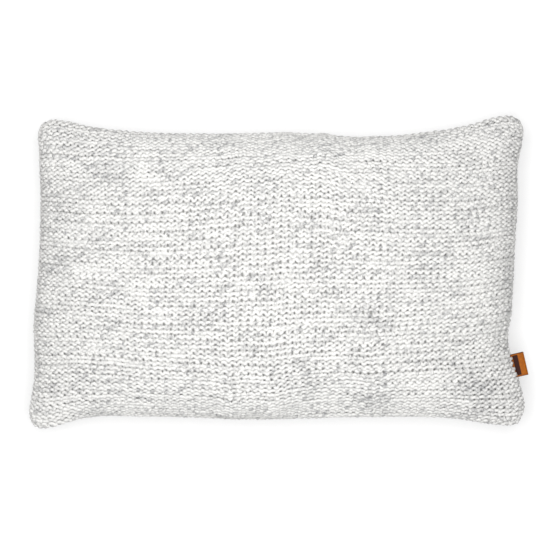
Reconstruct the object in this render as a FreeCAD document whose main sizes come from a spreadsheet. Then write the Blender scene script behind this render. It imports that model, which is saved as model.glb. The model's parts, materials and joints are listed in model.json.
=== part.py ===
import FreeCAD, Part
import math
import os
import Sketcher

# A knitted lumbar cushion lying on its back panel: length along X, width along Y, front panel up.
# The cover's front and back panels meet in one seam at a constant height; the -Y seam carries the
# zip, the +X seam holds a folded leather tag. A filled insert sits inside the cover.
# Origin: the centre of the flat patch that the back panel rests on.

doc = FreeCAD.newDocument("knitted_cushion")
sheet = doc.addObject("Spreadsheet::Sheet", "Dims")

DIMENSIONS = {
    # cover outline at the seam
    "half_length": 237.5,        # seam to centre, middle of the short sides
    "half_width_top": 140.0,     # seam to centre, middle of the +Y side
    "half_width_zip": 147.5,     # seam to centre, middle of the -Y side
    "ear_length": 247.5,         # furthest reach of the corners along X
    "ear_width": 156.0,          # furthest reach of the corners along Y
    # heights
    "seam_height": 54.0,         # the seam above the floor, which is the back panel's depth
    "front_rise": 60.0,          # the front panel's crown above the seam
    # layers, from the outside in
    "knit_wall": 6.0,
    "seam_border": 10.0,         # knit and turned-in allowance beside the seam
    "insert_border": 16.0,
    "layer_gap": 1.0,
    "casing_wall": 0.8,
    "filling_gap": 3.4,
    "zip_gap": 9.0,              # further gap between the cover and the insert behind the zip
    "thread_size": 0.6,
    "thread_clearance": 1.4,
    "closing_start": 20.0,       # the stretch of the casing's seam sewn shut after filling
    "closing_length": 90.0,
    "label_length": 26.0,
    "label_depth": 3.2,
    "label_thickness": 0.6,
    # zip
    "zip_recess": 9.5,           # chain behind the middle of the -Y edge
    "zip_half_chain": 162.0,
    "slot_half_height": 4.6,
    "tape_thickness": 0.5,
    "tape_width": 11.0,
    "tape_tail": 15.0,           # the tapes carry on this far past each end of the chain
    "coil_inner": 0.4,
    "coil_outer": 1.9,
    "coil_depth": 1.5,
    "slider_length": 10.0,
    "slider_width": 7.6,
    "slider_depth": 4.2,
    "plate_thickness": 1.0,
    "cap_rise": 2.8,             # outside height of the arch
    "cap_strap": 0.7,
    "stop_length": 2.0,
    "stitch_line": 8.7,          # the tapes' stitching, from the middle of the chain
    "stitch_radius": 0.14,
    "pull_length": 22.0,
    "pull_width": 5.6,
    "pull_thickness": 1.2,
    "pull_clearance": 0.35,
    # leather tag
    "tag_length": 24.0,          # along the seam
    "tag_reach": 7.5,            # outside the seam
    "tag_root": 7.0,             # caught between the panels
    "tag_leather": 1.3,
    "tag_offset": -94.0,         # along the +X seam, from its middle
    "tag_turn": 13.0,            # degrees, as the seam runs there
}
for row, (alias, value) in enumerate(DIMENSIONS.items(), 1):
    sheet.set("A%d" % row, str(value))
    sheet.setAlias("A%d" % row, alias)
doc.recompute()


def dim(alias):
    """A driving dimension, read back from the sheet."""
    return float(sheet.get(alias))


def origin_plane(body, role):
    return next(plane for plane in body.Origin.OriginFeatures if plane.Role == role)


def new_sketch(body, name, role="XY_Plane"):
    sketch = body.newObject("Sketcher::SketchObject", name)
    sketch.AttachmentSupport = [(origin_plane(body, role), "")]
    sketch.MapMode = "FlatFace"
    return sketch


def label(obj, name):
    obj.Label = name
    return obj


# ---- layers of the cushion -------------------------------------------------------------------

# A panel's crown, from the seam up: share of the rise, share of the half length and half width
# that is left, how square the outline is, and how far its corners reach past its sides.
CROWN = (
    (0.00, 1.000, 1.000, 12.0, 1.60),
    (0.20, 0.950, 0.965, 7.0, 0.80),
    (0.45, 0.855, 0.900, 5.0, 0.30),
    (0.70, 0.700, 0.790, 4.0, 0.0),
    (0.88, 0.520, 0.640, 3.2, 0.0),
    (1.00, 0.300, 0.420, 2.6, 0.0),
)
OUTLINE_POINTS = 48
ZIP_STITCHES = 81
CAP_SPAN = 0.8                   # the arch, as a share of the slider's length
CAP_WIDTH = 0.3                  # and of its width
PIVOT_OFFSET = 0.12              # the cross bar ahead of the slider's middle, in slider lengths
TAIL_RADIUS = 0.38               # the pull's round end, as a share of its width
WALL_ALIASES = ("knit_wall", "layer_gap", "casing_wall", "filling_gap")


def signed_power(value, power):
    return math.copysign(abs(value) ** power, value)


def outline_wire(border, level, height):
    """The closed outline of one level, `border` inside the cover's surface: a squared ellipse
    whose sides are drawn in between its corners. The insert's outlines leave the zip more room."""
    _, share_x, share_y, square, ear = level
    points = []
    for number in range(OUTLINE_POINTS):
        angle = 2 * math.pi * (number + 0.5) / OUTLINE_POINTS
        along = signed_power(math.cos(angle), 2 / square)
        across = signed_power(math.sin(angle), 2 / square)
        inside_cover = border > dim("seam_border") + dim("thread_clearance") + dim("thread_size")
        half_width = dim("half_width_top") if across > 0 else dim("half_width_zip")
        zip_gap = dim("zip_gap") if inside_cover and across < 0 else 0
        ear_x = (dim("ear_length") - dim("half_length")) * ear
        ear_y = (dim("ear_width") - half_width) * ear
        reach_x = (dim("half_length") - border) * share_x + ear_x * across ** 2
        reach_y = (half_width - border - zip_gap) * share_y + ear_y * along ** 2
        points.append(FreeCAD.Vector(along * reach_x, across * reach_y, height))
    curve = Part.BSplineCurve()
    curve.interpolate(Points=points, PeriodicFlag=True)
    return Part.Wire([curve.toShape()])


def crown(name, border, rise):
    """One half of a layer: a loft from the seam to a flat top, or down to a flat base where the
    rise is negative."""
    wires = [outline_wire(border, level, dim("seam_height") + rise * level[0]) for level in CROWN]
    half = doc.addObject("Part::Feature", name)
    half.Shape = Part.makeLoft(wires, True, False)
    return half


def common(name, base, tool):
    result = doc.addObject("Part::Common", name)
    result.Base = base
    result.Tool = tool
    return label(result, name)


def cut(name, base, tool):
    result = doc.addObject("Part::Cut", name)
    result.Base = base
    result.Tool = tool
    return label(result, name)


def box(name, size, corner):
    """A box whose size and lowest corner are sheet expressions."""
    result = doc.addObject("Part::Box", name)
    for prop, expression in zip(("Length", "Width", "Height"), size):
        result.setExpression(prop, str(expression))
    for axis, expression in zip("xyz", corner):
        result.setExpression("Placement.Base." + axis, str(expression))
    return result


def fuse(name, shapes):
    result = doc.addObject("Part::MultiFuse", name)
    result.Shapes = shapes
    return label(result, name)


# How far each layer's surface lies inside the cover's: beside the seam, and under the crown.
INSETS = {
    "cover": (0, 0),
    "cavity": (dim("seam_border"), sum(map(dim, WALL_ALIASES[:1]))),
    "casing": (dim("insert_border"), sum(map(dim, WALL_ALIASES[:2]))),
    "lining": (dim("insert_border") + dim("casing_wall"), sum(map(dim, WALL_ALIASES[:3]))),
    "filling": (dim("insert_border") + dim("casing_wall") + dim("filling_gap"),
                sum(map(dim, WALL_ALIASES))),
}


def layer(which, side):
    """One half of the named layer, front or back."""
    border, depth = INSETS[which]
    rise = dim("front_rise") - depth if side == "front" else depth - dim("seam_height")
    return crown("%s_%s" % (which, side), border, rise)


# ---- zip -------------------------------------------------------------------------------------

CHAIN_Y = "-Dims.half_width_zip + Dims.zip_recess"
SEAM_Z = "Dims.seam_height"


HALF_SLOT = "(Dims.zip_half_chain + Dims.pull_length + 6)"


def zip_room():
    """The space that the zip takes out of both panels: a slot open to -Y that the slider runs in,
    and a thin pocket above and below it for the tapes."""
    slot = box(
        "zip_slot",
        ("2 * " + HALF_SLOT, "40 + Dims.slider_depth / 2 + 0.8", "2 * Dims.slot_half_height"),
        ("-" + HALF_SLOT, CHAIN_Y + " - 40", SEAM_Z + " - Dims.slot_half_height"))
    pocket = box(
        "tape_pocket",
        ("2 * (Dims.zip_half_chain + Dims.tape_tail + 1)", "Dims.tape_thickness + 0.9",
         "2 * (Dims.coil_outer + Dims.tape_width + 0.4)"),
        ("-Dims.zip_half_chain - Dims.tape_tail - 1", CHAIN_Y + " - Dims.tape_thickness / 2 - 0.6",
         SEAM_Z + " - Dims.coil_outer - Dims.tape_width - 0.4"))
    return [slot, pocket]


def zip_tape(name, upper):
    low = SEAM_Z + (" + Dims.coil_outer" if upper else " - Dims.coil_outer - Dims.tape_width")
    tape = box(name, ("2 * (Dims.zip_half_chain + Dims.tape_tail)", "Dims.tape_thickness", "Dims.tape_width"),
               ("-Dims.zip_half_chain - Dims.tape_tail", CHAIN_Y + " - Dims.tape_thickness / 2", low))
    return label(tape, name)


def zip_coil(name, upper):
    """One half of the nylon coil, as a bar of its outer size along the edge of its tape."""
    low = SEAM_Z + (" + Dims.coil_inner" if upper else " - Dims.coil_outer")
    coil = box(name, ("2 * Dims.zip_half_chain", "Dims.coil_depth", "Dims.coil_outer - Dims.coil_inner"),
               ("-Dims.zip_half_chain", CHAIN_Y + " - Dims.coil_depth / 2", low))
    return label(coil, name)


def stitch_row(name, length, count, start):
    """A row of straight stitches along X, as separate short round threads."""
    radius = dim("stitch_radius")
    pitch = length / count
    stitches = []
    for number in range(count):
        base = FreeCAD.Vector(start.x + (number + 0.15) * pitch, start.y, start.z)
        stitches.append(Part.makeCylinder(radius, 0.7 * pitch, base, FreeCAD.Vector(1, 0, 0)))
    row = doc.addObject("Part::Feature", name)
    row.Shape = Part.makeCompound(stitches)
    return label(row, name)


def zip_stitches(name, upper):
    height = dim("seam_height") + (dim("stitch_line") if upper else -dim("stitch_line"))
    tape_face = dim("zip_recess") - dim("half_width_zip") - dim("tape_thickness") / 2
    half = dim("zip_half_chain")
    start = FreeCAD.Vector(-half, tape_face - 1.1 * dim("stitch_radius"), height)
    return stitch_row(name, 2 * half, ZIP_STITCHES, start)


def slider_body():
    """Two plates joined by a thin divider, with side walls that leave a slit for each tape."""
    length, width, depth = "Dims.slider_length", "Dims.slider_width", "Dims.slider_depth"
    start_x = "Dims.zip_half_chain - 1 - Dims.slider_length"
    block = box("slider_block", (length, depth, width),
                (start_x, CHAIN_Y + " - %s / 2" % depth, SEAM_Z + " - %s / 2" % width))
    tunnel = box("slider_tunnel",
                 (length + " + 2", depth + " - 2 * Dims.plate_thickness", "2 * Dims.coil_outer + 0.6"),
                 (start_x + " - 1", CHAIN_Y + " - %s / 2 + Dims.plate_thickness" % depth,
                  SEAM_Z + " - Dims.coil_outer - 0.3"))
    slit = box("slider_slit", (length + " + 2", "Dims.tape_thickness + 0.6", width + " + 2"),
               (start_x + " - 1", CHAIN_Y + " - Dims.tape_thickness / 2 - 0.3",
                SEAM_Z + " - %s / 2 - 1" % width))
    hollow = fuse("slider_hollow", [tunnel, slit])
    shell = cut("slider_shell", block, hollow)
    divider = box("slider_divider", (length + " / 2", depth, "0.4"),
                  (start_x + " + %s / 2" % length, CHAIN_Y + " - %s / 2" % depth, SEAM_Z + " - 0.2"))
    return fuse("zip_slider", [shell, divider])


SLIDER_X = "Dims.zip_half_chain - 1 - Dims.slider_length / 2"
PLATE_Y = CHAIN_Y + " - Dims.slider_depth / 2"


def closed_profile(sketch, points):
    """A fixed polygon in a sketch, from its corners in order."""
    corners = [FreeCAD.Vector(x, y, 0) for x, y in points]
    for index, (first, last) in enumerate(zip(corners, corners[1:] + corners[:1])):
        sketch.addGeometry(Part.LineSegment(first, last))
        sketch.addConstraint(Sketcher.Constraint("Block", index))
    for index in range(len(corners)):
        sketch.addConstraint(Sketcher.Constraint("Coincident", index, 2, (index + 1) % len(corners), 1))


def midplane_pad(body, sketch, length):
    doc.recompute()
    pad = body.newObject("PartDesign::Pad", sketch.Name + "_pad")
    pad.Profile = sketch
    pad.Midplane = True
    pad.setExpression("Length", length)
    doc.recompute()


def place(body, x, y, z):
    for axis, expression in zip("xyz", (x, y, z)):
        body.setExpression("Placement.Base." + axis, expression)


def slider_cap():
    """The arch over the slider's outer plate that the pull's cross bar turns under."""
    body = doc.addObject("PartDesign::Body", "zip_slider_cap")
    profile = new_sketch(body, "cap_profile")
    strap, rise, half_span = dim("cap_strap"), dim("cap_rise"), dim("slider_length") * CAP_SPAN / 2
    shoulder = half_span - 0.6
    outside = [(-half_span, 0), (-half_span, 0.6 - rise), (-shoulder, -rise),
               (shoulder, -rise), (half_span, 0.6 - rise), (half_span, 0)]
    inside = [(half_span - strap, 0), (half_span - strap, strap - rise),
              (strap - half_span, strap - rise), (strap - half_span, 0)]
    closed_profile(profile, outside + inside)
    midplane_pad(body, profile, "Dims.slider_width * %s" % CAP_WIDTH)
    place(body, SLIDER_X, PLATE_Y, SEAM_Z)
    return label(body, "zip_slider_cap")


def zip_pull():
    """A tapered tab with an eye round the cap's arch. It turns about its cross bar, which is this
    body's origin, and lies back along the closed chain."""
    body = doc.addObject("PartDesign::Body", "zip_pull")
    outline = new_sketch(body, "pull_outline", "XZ_Plane")
    up = FreeCAD.Vector(0, 0, 1)
    bar = dim("pull_thickness") / 2
    head_radius = dim("pull_width") / 2
    tail_radius = dim("pull_width") * TAIL_RADIUS
    head_x = bar - head_radius
    tail_x = bar - dim("pull_length") + tail_radius
    lean = math.asin((head_radius - tail_radius) / (head_x - tail_x))
    upper, lower = math.pi / 2 + lean, 1.5 * math.pi - lean
    head = Part.Circle(FreeCAD.Vector(head_x, 0, 0), up, head_radius)
    tail = Part.Circle(FreeCAD.Vector(tail_x, 0, 0), up, tail_radius)
    head_arc = outline.addGeometry(Part.ArcOfCircle(head, lower - 2 * math.pi, upper))
    tail_arc = outline.addGeometry(Part.ArcOfCircle(tail, upper, lower))
    rim = [FreeCAD.Vector(x + radius * math.cos(angle), radius * math.sin(angle), 0)
           for x, radius, angle in ((head_x, head_radius, upper), (tail_x, tail_radius, upper),
                                    (tail_x, tail_radius, lower), (head_x, head_radius, lower))]
    top_edge = outline.addGeometry(Part.LineSegment(rim[0], rim[1]))
    low_edge = outline.addGeometry(Part.LineSegment(rim[2], rim[3]))
    for first, first_end, second, second_end in ((head_arc, 2, top_edge, 1), (top_edge, 2, tail_arc, 1),
                                                 (tail_arc, 2, low_edge, 1), (low_edge, 2, head_arc, 1)):
        outline.addConstraint(Sketcher.Constraint("Tangent", first, first_end, second, second_end))
    for arc in (head_arc, tail_arc):
        outline.addConstraint(Sketcher.Constraint("PointOnObject", arc, 3, -1))
    for constraint, expression in (
            (Sketcher.Constraint("Radius", head_arc, head_radius), "Dims.pull_width / 2"),
            (Sketcher.Constraint("Radius", tail_arc, tail_radius), "Dims.pull_width * %s" % TAIL_RADIUS),
            (Sketcher.Constraint("DistanceX", head_arc, 3, -1, 1, -head_x),
             "Dims.pull_width / 2 - Dims.pull_thickness / 2"),
            (Sketcher.Constraint("DistanceX", tail_arc, 3, -1, 1, -tail_x),
             "Dims.pull_length - Dims.pull_thickness / 2 - Dims.pull_width * %s" % TAIL_RADIUS)):
        outline.setExpression("Constraints[%d]" % outline.addConstraint(constraint), expression)
    midplane_pad(body, outline, "Dims.pull_thickness")
    eye = new_sketch(body, "pull_eye", "XZ_Plane")
    eye_half = dim("slider_width") * CAP_WIDTH / 2 + dim("pull_clearance")
    eye_end = -bar - dim("slider_length") / 2
    closed_profile(eye, [(eye_end, -eye_half), (2 * bar, -eye_half),
                         (2 * bar, eye_half), (eye_end, eye_half)])
    doc.recompute()
    pocket = body.newObject("PartDesign::Pocket", "pull_eye_cut")
    pocket.Profile = eye
    pocket.Type = "ThroughAll"
    pocket.Midplane = True
    doc.recompute()
    bar_end = new_sketch(body, "pull_bar")
    bar_circle = bar_end.addGeometry(Part.Circle(FreeCAD.Vector(0, 0, 0), up, bar))
    bar_end.addConstraint(Sketcher.Constraint("Coincident", bar_circle, 3, -1, 1))
    number = bar_end.addConstraint(Sketcher.Constraint("Radius", bar_circle, bar))
    bar_end.setExpression("Constraints[%d]" % number, "Dims.pull_thickness / 2")
    midplane_pad(body, bar_end, "Dims.slider_width * %s + 4 * Dims.pull_clearance" % CAP_WIDTH)
    place(body, SLIDER_X + " + Dims.slider_length * %s" % PIVOT_OFFSET,
          PLATE_Y + " - (Dims.cap_rise - Dims.cap_strap) / 2", SEAM_Z)
    return label(body, "zip_pull")


def zip_stop(name, start, low, height):
    """A metal clip at the end of the coil, which the slider stops against."""
    clip = box(name, ("Dims.stop_length", "Dims.coil_depth", height),
               (start, CHAIN_Y + " - Dims.coil_depth / 2", low))
    return label(clip, name)


# ---- build -----------------------------------------------------------------------------------

NODES = []


def build_covers_and_insert():
    room = fuse("zip_and_tag_room", zip_room() + [tag_room()])
    for side in ("front", "back"):
        shell = cut("shell_" + side, layer("cover", side), layer("cavity", side))
        NODES.append(cut("knit_%s_panel" % side, shell, room))
        NODES.append(cut("insert_casing_" + side, layer("casing", side), layer("lining", side)))
    NODES.append(fuse("fibre_filling", [layer("filling", "front"), layer("filling", "back")]))


def tag_placement():
    """Where the tag's root line lies on the +X seam, turned to follow it."""
    seam = outline_wire(0, CROWN[0], 0).Edges[0]
    across = Part.makeLine(FreeCAD.Vector(0, dim("tag_offset"), 0),
                           FreeCAD.Vector(2 * dim("ear_length"), dim("tag_offset"), 0))
    seam_x = seam.distToShape(across)[1][0][0].x
    turn = FreeCAD.Rotation(FreeCAD.Vector(0, 0, 1), dim("tag_turn"))
    return FreeCAD.Placement(FreeCAD.Vector(seam_x, dim("tag_offset"), dim("seam_height")), turn)


def tag_profile(grow):
    """The folded strip's section in X and Z: two layers that meet in a round fold."""
    leather = dim("tag_leather")
    half = leather + 0.35 + grow
    return -dim("tag_root") - grow, dim("tag_reach") - half, half


def tag_room():
    root, _, half = tag_profile(0.15)
    room = doc.addObject("Part::Box", "tag_room")
    room.Length = dim("tag_reach") - root
    room.Width = dim("tag_length") + 0.3
    room.Height = 2 * half
    offset = FreeCAD.Placement(FreeCAD.Vector(root, -room.Width.Value / 2, -half), FreeCAD.Rotation())
    room.Placement = tag_placement().multiply(offset)
    return room


def leather_tag():
    """A strip folded in half outside the seam, its two ends caught between the panels."""
    root, fold_x, half = tag_profile(0)
    gap = half - dim("tag_leather")
    body = doc.addObject("PartDesign::Body", "leather_tag")
    section = new_sketch(body, "tag_section", "XZ_Plane")
    up = FreeCAD.Vector(0, 0, 1)
    centre = FreeCAD.Vector(fold_x, 0, 0)
    quarter = math.pi / 2
    section.addGeometry(Part.ArcOfCircle(Part.Circle(centre, up, half), -quarter, quarter))
    section.addGeometry(Part.ArcOfCircle(Part.Circle(centre, up, gap), -quarter, quarter))
    ends = [(half, fold_x), (half, root), (gap, root), (gap, fold_x)]
    for sign in (1, -1):
        for (z1, x1), (z2, x2) in zip(ends, ends[1:]):
            section.addGeometry(Part.LineSegment(FreeCAD.Vector(x1, sign * z1, 0),
                                                 FreeCAD.Vector(x2, sign * z2, 0)))
    outer_arc, inner_arc, upper, lower = 0, 1, 2, 5
    for arc, end, line, line_end in ((outer_arc, 2, upper, 1), (inner_arc, 2, upper + 2, 2),
                                     (outer_arc, 1, lower, 1), (inner_arc, 1, lower + 2, 2)):
        section.addConstraint(Sketcher.Constraint("Coincident", arc, end, line, line_end))
    for first in (upper, upper + 1, lower, lower + 1):
        section.addConstraint(Sketcher.Constraint("Coincident", first, 2, first + 1, 1))
    for index in range(8):
        section.addConstraint(Sketcher.Constraint("Block", index))
    doc.recompute()
    pad = body.newObject("PartDesign::Pad", "tag_pad")
    pad.Profile = section
    pad.Midplane = True
    pad.setExpression("Length", "Dims.tag_length")
    doc.recompute()
    body.Placement = tag_placement()
    return label(body, "leather_tag")


# ---- threads ---------------------------------------------------------------------------------

def thread_ring(name, border):
    """A closed run of thread along the seam, its outer side `border` inside the cover's edge."""
    size = dim("thread_size")
    height = dim("seam_height") - size / 2
    outer, inner = (Part.Face(outline_wire(inset, CROWN[0], height)) for inset in (border, border + size))
    ring = doc.addObject("Part::Feature", name)
    ring.Shape = outer.cut(inner).extrude(FreeCAD.Vector(0, 0, size))
    return ring


def cover_threads():
    """The seam's thread, inside the turned-in allowance. The zip's slot interrupts it."""
    ring = thread_ring("cover_seam_run", dim("seam_border") + dim("thread_clearance"))
    gap = box("zip_gap", ("2 * " + HALF_SLOT, "60", "4"),
              ("-" + HALF_SLOT, "-Dims.half_width_zip - 20", SEAM_Z + " - 2"))
    NODES.append(cut("cover_seam_thread", ring, gap))


def insert_threads():
    """The casing's own seam, sewn inside out, and the short stretch closed after filling."""
    lining = dim("insert_border") + dim("casing_wall")
    ring = thread_ring("casing_seam_run", lining + dim("thread_clearance"))
    opening = box("filling_opening", ("60", "Dims.closing_length", "4"),
                  ("-Dims.half_length - 10", "Dims.closing_start", SEAM_Z + " - 2"))
    NODES.append(cut("casing_seam_thread", ring, opening))
    outside = dim("insert_border") - dim("thread_size") - dim("thread_clearance")
    outer = thread_ring("casing_closing_run", outside)
    NODES.append(common("casing_closing_thread", outer, opening))


def build_zip():
    NODES.append(zip_tape("zip_tape_front", True))
    NODES.append(zip_tape("zip_tape_back", False))
    NODES.append(zip_coil("zip_coil_front", True))
    NODES.append(zip_coil("zip_coil_back", False))
    NODES.append(zip_stitches("zip_stitches_front", True))
    NODES.append(zip_stitches("zip_stitches_back", False))
    both = "2 * Dims.coil_outer"
    half = "Dims.coil_outer - Dims.coil_inner"
    NODES.append(zip_stop("zip_bottom_stop", "-Dims.zip_half_chain - Dims.stop_length",
                          SEAM_Z + " - Dims.coil_outer", both))
    NODES.append(zip_stop("zip_top_stop_front", "Dims.zip_half_chain",
                          SEAM_Z + " + Dims.coil_inner", half))
    NODES.append(zip_stop("zip_top_stop_back", "Dims.zip_half_chain",
                          SEAM_Z + " - Dims.coil_outer", half))
    NODES.append(slider_body())
    NODES.append(slider_cap())
    NODES.append(zip_pull())


def care_label():
    """A blank folded satin label caught in the -X seam's allowance, inside the cover."""
    strip = box("care_strip", ("Dims.label_depth", "Dims.label_length", "Dims.label_thickness"),
                ("-Dims.half_length + Dims.seam_border + 1.6", "-Dims.label_length / 2",
                 SEAM_Z + " - Dims.label_thickness / 2"))
    NODES.append(label(strip, "care_label"))


build_covers_and_insert()
cover_threads()
insert_threads()
build_zip()
NODES.append(leather_tag())
care_label()
doc.recompute()

for obj in doc.Objects:
    if "Invalid" in obj.State or "Error" in obj.State:
        raise RuntimeError("%s did not build: %s" % (obj.Label, obj.State))

os.makedirs("parts", exist_ok=True)
for node in NODES:
    shape = node.Shape
    if shape.isNull() or not shape.isValid() or shape.Volume <= 0:
        raise RuntimeError("%s has no valid solid" % node.Label)
    shape.exportStep("parts/%s.step" % node.Label)
    extent = shape.BoundBox
    print("%-24s %2d solid(s) %10.1f mm3  X %.1f..%.1f  Y %.1f..%.1f  Z %.1f..%.1f" % (
        node.Label, len(shape.Solids), shape.Volume, extent.XMin, extent.XMax, extent.YMin,
        extent.YMax, extent.ZMin, extent.ZMax))
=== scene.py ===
import json
import math
import bmesh
import bpy
import numpy as np
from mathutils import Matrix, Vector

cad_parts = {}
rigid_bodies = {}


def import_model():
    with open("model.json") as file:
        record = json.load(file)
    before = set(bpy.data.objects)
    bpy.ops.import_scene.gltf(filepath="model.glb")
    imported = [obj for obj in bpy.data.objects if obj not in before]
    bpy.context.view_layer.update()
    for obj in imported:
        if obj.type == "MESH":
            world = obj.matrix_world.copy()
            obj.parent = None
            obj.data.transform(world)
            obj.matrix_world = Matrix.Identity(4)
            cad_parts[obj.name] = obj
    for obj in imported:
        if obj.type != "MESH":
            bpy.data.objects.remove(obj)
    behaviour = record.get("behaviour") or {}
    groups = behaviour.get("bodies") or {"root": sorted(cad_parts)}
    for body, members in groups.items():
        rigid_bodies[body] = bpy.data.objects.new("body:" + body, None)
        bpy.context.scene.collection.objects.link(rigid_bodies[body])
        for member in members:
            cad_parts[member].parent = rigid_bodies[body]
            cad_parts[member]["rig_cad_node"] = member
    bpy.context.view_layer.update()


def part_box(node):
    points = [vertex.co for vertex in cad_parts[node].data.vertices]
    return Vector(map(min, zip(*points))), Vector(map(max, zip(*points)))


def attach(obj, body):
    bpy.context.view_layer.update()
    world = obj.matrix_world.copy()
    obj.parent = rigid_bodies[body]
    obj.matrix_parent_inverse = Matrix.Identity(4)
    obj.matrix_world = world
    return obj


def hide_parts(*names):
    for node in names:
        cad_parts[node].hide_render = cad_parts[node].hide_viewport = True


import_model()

# A knitted cushion lying on its back. The fabric's middle surface comes from a cloth simulation of
# two panels sewn together and blown up; it is then fitted to the seam outline below, and every
# course of the knit is laid on it as one continuous looped yarn.

SEAM_Z = float(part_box("zip_slider")[0][2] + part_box("zip_slider")[1][2]) / 2
TOP_Z = float(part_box("knit_front_panel")[1][2])
CHAIN_Y = float(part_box("zip_coil_front")[0][1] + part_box("zip_coil_front")[1][1]) / 2
ZIP_HALF = float(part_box("zip_coil_front")[1][0])

# ---- cut panels ----

PANEL_LENGTH = 0.508
PANEL_WIDTH = 0.322
CELLS_X = 60                  # grid cells along a panel
CELLS_Y = 38                  # and across it
FIRST_LIFT = 0.004            # each panel starts this far off the seam plane
PRESSURE = 3.0
FABRIC_STIFFNESS = 60.0
SIM_FRAMES = 40

# ---- knit ----

STITCHES = 68                 # across a panel
COURSES = 70                  # up a panel
YARN_RADIUS = 0.00173
LOOP_HEIGHT = 1.24            # half the loop's height, in courses
LOOP_WIDTH = 0.13             # how far heads and feet spread, in stitches
LEG_SHIFT = 0.046             # how far the legs stand nearer the foot than the head
LOOP_DEPTH = 0.00130          # heads and feet stand this far in front of the fabric's middle
STEPS = 16                    # along one stitch
SIDES = 8                     # round the yarn
TWIST_LENGTH = 0.0078         # one turn of the plies
YARN_PER_STITCH = 0.020
LEG_THINNING = 0.09           # the legs are squeezed thinner than the heads and feet
BAND = 9                      # courses in one piece
KNIT_HALF = YARN_RADIUS + LOOP_DEPTH
HEM_COURSES = 2               # turned in behind each lip of the zip
LIP_CLOSED = 0.0024           # fabric middle above the seam plane where the seam is sewn shut
LIP_ZIP = 0.0076              # and beside the zip
PINCH_DEPTH = 0.0028          # how far the seams draw the fabric in, and how far from the seam
PINCH_WIDTH = 0.0042
CORNER_RADIUS = 0.019

# The seam outline, in metres from the middle: (share of the way along, distance out).
RIGHT_SEAM = ((-1, .2490), (-.84, .2480), (-.70, .2426), (-.56, .2352), (-.44, .2315), (-.3, .2350),
              (0, .2378), (.25, .2396), (.45, .2420), (.68, .2418), (.82, .2462), (1, .2484))
LEFT_SEAM = ((-1, .2492), (-.85, .2462), (-.7, .2424), (-.3, .2420), (0, .2380), (.45, .2355),
             (.8, .2372), (1, .2390))
TOP_SEAM = ((-1, .1530), (-.88, .1505), (-.78, .1450), (-.62, .1405), (-.3, .1378), (.1, .1385),
            (.32, .1346), (.62, .1402), (.76, .1460), (.88, .1542), (1, .1568))
ZIP_SEAM = ((-1, .1562), (-.91, .1540), (-.78, .1446), (-.45, .1422), (-.1, .1450), (.35, .1424),
            (.7, .1440), (.88, .1508), (1, .1532))

rng = np.random.default_rng(11)


def smooth_step(x):
    x = np.clip(x, 0, 1)
    return x * x * (3 - 2 * x)


def unit(vectors):
    return vectors / (np.linalg.norm(vectors, axis=-1, keepdims=True) + 1e-12)


def through(points, x):
    """A smooth curve through a few (place, value) points."""
    px = np.array([p[0] for p in points], float)
    py = np.array([p[1] for p in points], float)
    slope = np.gradient(py, px)
    i = np.clip(np.searchsorted(px, x) - 1, 0, len(px) - 2)
    step = px[i + 1] - px[i]
    t = np.clip((x - px[i]) / step, 0, 1)
    return (py[i] * (1 + 2 * t) * (1 - t) ** 2 + slope[i] * step * t * (1 - t) ** 2
            + py[i + 1] * t * t * (3 - 2 * t) + slope[i + 1] * step * t * t * (t - 1))


# ---- the blown-up cushion ----

def sewn_panels():
    """Two flat panels that share their border, as one mesh, with a grid of its vertex numbers."""
    numbers = np.zeros((2, CELLS_X + 1, CELLS_Y + 1), int)
    points = []
    for side in (0, 1):
        for i in range(CELLS_X + 1):
            for j in range(CELLS_Y + 1):
                on_seam = i in (0, CELLS_X) or j in (0, CELLS_Y)
                if side and on_seam:
                    numbers[1, i, j] = numbers[0, i, j]
                    continue
                numbers[side, i, j] = len(points)
                lift = 0 if on_seam else (FIRST_LIFT, -FIRST_LIFT)[side]
                points.append((PANEL_LENGTH * (i / CELLS_X - 0.5), PANEL_WIDTH * (j / CELLS_Y - 0.5), lift))
    faces = []
    for side in (0, 1):
        grid = numbers[side]
        for i in range(CELLS_X):
            for j in range(CELLS_Y):
                face = [grid[i, j], grid[i + 1, j], grid[i + 1, j + 1], grid[i, j + 1]]
                faces.append([int(k) for k in (face if side == 0 else face[::-1])])
    mesh = bpy.data.meshes.new("blown_panels")
    mesh.from_pydata(points, [], faces)
    return mesh, numbers


def blow_up():
    """Simulates the sewn panels under pressure and returns both panels' grids of points."""
    mesh, numbers = sewn_panels()
    cushion = bpy.data.objects.new("blown_panels", mesh)
    bpy.context.scene.collection.objects.link(cushion)
    cloth = cushion.modifiers.new("Cloth", "CLOTH")
    cloth.settings.quality = 6
    cloth.settings.mass = 0.3
    cloth.settings.tension_stiffness = FABRIC_STIFFNESS
    cloth.settings.compression_stiffness = FABRIC_STIFFNESS
    cloth.settings.shear_stiffness = FABRIC_STIFFNESS / 4
    cloth.settings.bending_stiffness = 0.5
    cloth.settings.use_pressure = True
    cloth.settings.uniform_pressure_force = PRESSURE
    cloth.settings.air_damping = 2
    cloth.settings.effector_weights.gravity = 0
    cloth.collision_settings.use_self_collision = False
    cloth.point_cache.frame_end = SIM_FRAMES + 1
    for number in range(1, SIM_FRAMES + 1):
        bpy.context.scene.frame_set(number)
    shaped = bpy.data.meshes.new_from_object(cushion.evaluated_get(bpy.context.evaluated_depsgraph_get()))
    flat = np.zeros(len(shaped.vertices) * 3)
    shaped.vertices.foreach_get("co", flat)
    points = flat.reshape(-1, 3)
    bpy.context.scene.frame_set(1)
    bpy.data.objects.remove(cushion)
    bpy.data.meshes.remove(mesh)
    bpy.data.meshes.remove(shaped)
    return points[numbers[0]], points[numbers[1]]


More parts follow.
